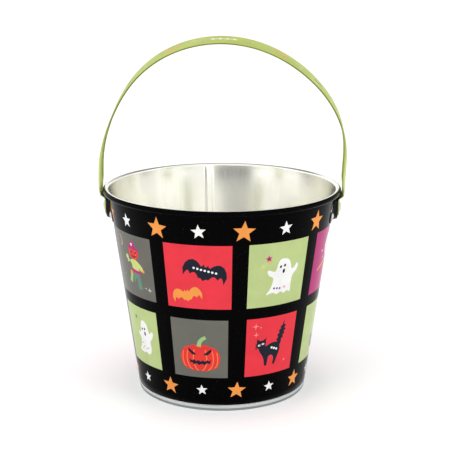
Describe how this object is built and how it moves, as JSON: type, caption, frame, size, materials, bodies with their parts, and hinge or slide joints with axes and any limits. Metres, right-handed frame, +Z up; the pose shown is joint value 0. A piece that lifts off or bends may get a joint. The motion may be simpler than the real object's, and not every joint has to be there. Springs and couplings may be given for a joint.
{
  "type": "sand bucket",
  "caption": "Tapered tin pail with a rolled rim, a folded bottom seam, riveted ears and a flat strap handle that swings down on either side.",
  "frame": {"origin": "centre of the base, on the surface the pail stands on", "axes": "+Z up through the pail's axis, X along the handle's pivot line, -Y towards the front"},
  "size_m": [0.1695, 0.165, 0.2469],
  "materials": {
    "printed_tin": "gloss black lacquer with printed coloured panels outside, bare bright tin inside",
    "bare_tin": "bright tinplate, lightly drawn",
    "ear_lacquer": "gloss black lacquer",
    "rivet_steel": "tin-plated steel, satin",
    "handle_lacquer": "semi-gloss lime green lacquer"
  },
  "bodies": {
    "pail": {"pail_wall": "printed_tin", "base_disc": "bare_tin", "left_ear": "ear_lacquer", "right_ear": "ear_lacquer", "left_ear_rivets": "rivet_steel", "right_ear_rivets": "rivet_steel", "left_pivot_rivet": "rivet_steel", "right_pivot_rivet": "rivet_steel"},
    "handle": {"strap_handle": "handle_lacquer"}
  },
  "joints": [
    {"name": "handle_swing", "type": "hinge", "parent": "pail", "child": "handle", "pos_m": [0, 0, 0.129], "axis": [1, 0, 0], "range_deg": [-145, 131]}
  ]
}
